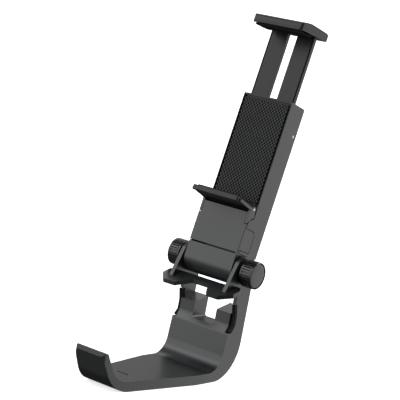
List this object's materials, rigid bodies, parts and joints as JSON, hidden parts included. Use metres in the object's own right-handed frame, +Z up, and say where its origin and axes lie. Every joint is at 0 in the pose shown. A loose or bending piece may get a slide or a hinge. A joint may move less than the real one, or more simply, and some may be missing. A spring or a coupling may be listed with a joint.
{
  "type": "controller phone clip",
  "caption": "Clip that seats a game controller in a hooked cradle and holds a phone above it in a tilting clamp with a sliding upper jaw and a folding lower jaw.",
  "frame": {"origin": "centre of the cradle floor's flat top, where the controller sits", "axes": "+Z up off the floor, +X to the player's right, +Y away from the player, from the hook to the wall"},
  "size_m": [0.0502, 0.1272, 0.1775],
  "materials": {
    "satin_abs": "fine satin moulded ABS, mid grey",
    "dark_abs": "fine satin moulded ABS, darker grey",
    "knob_abs": "near-black moulded ABS with grip ribs",
    "rubber": "matte black soft rubber",
    "steel": "zinc-plated steel",
    "brass": "turned brass",
    "nylon": "natural white nylon"
  },
  "bodies": {
    "cradle": {"cradle": "satin_abs", "bumper_left": "rubber", "bumper_right": "rubber", "washer_left": "steel", "washer_right": "steel"},
    "arm": {"hinge_block": "satin_abs", "rear_shell": "satin_abs", "lower_cover": "satin_abs", "front_frame": "dark_abs", "back_pad": "rubber", "shell_screw_1": "steel", "shell_screw_2": "steel", "shell_screw_3": "steel", "shell_screw_4": "steel", "jaw_pin": "steel", "stop_pin": "steel", "friction_washer_left": "nylon", "friction_washer_right": "nylon", "insert_left": "brass", "insert_right": "brass"},
    "slider": {"upper_jaw": "dark_abs", "upper_jaw_pad": "rubber", "brake_spring": "steel"},
    "lower_jaw": {"lower_jaw": "dark_abs", "lower_jaw_pad": "rubber"},
    "knob_left": {"knob_left": "knob_abs", "knob_cap_left": "satin_abs", "knob_screw_left": "steel"},
    "knob_right": {"knob_right": "knob_abs", "knob_cap_right": "satin_abs", "knob_screw_right": "steel"}
  },
  "joints": [
    {"name": "arm_tilt", "type": "hinge", "parent": "cradle", "child": "arm", "pos_m": [0, 0.0421, 0.0497], "axis": [1, 0, 0], "range_deg": [-75, 75]},
    {"name": "upper_jaw_slide", "type": "slide", "parent": "arm", "child": "slider", "axis": [0, 0.2368, 0.9715], "range_m": [-0.032, 0.004]},
    {"name": "lower_jaw_fold", "type": "hinge", "parent": "arm", "child": "lower_jaw", "pos_m": [0, 0.04473, 0.0799], "axis": [-1, 0, 0], "range_deg": [0, 79]},
    {"name": "knob_left_turn", "type": "hinge", "parent": "cradle", "child": "knob_left", "pos_m": [-0.02, 0.0421, 0.0497], "axis": [1, 0, 0], "continuous": true},
    {"name": "knob_right_turn", "type": "hinge", "parent": "cradle", "child": "knob_right", "pos_m": [0.02, 0.0421, 0.0497], "axis": [1, 0, 0], "continuous": true}
  ]
}
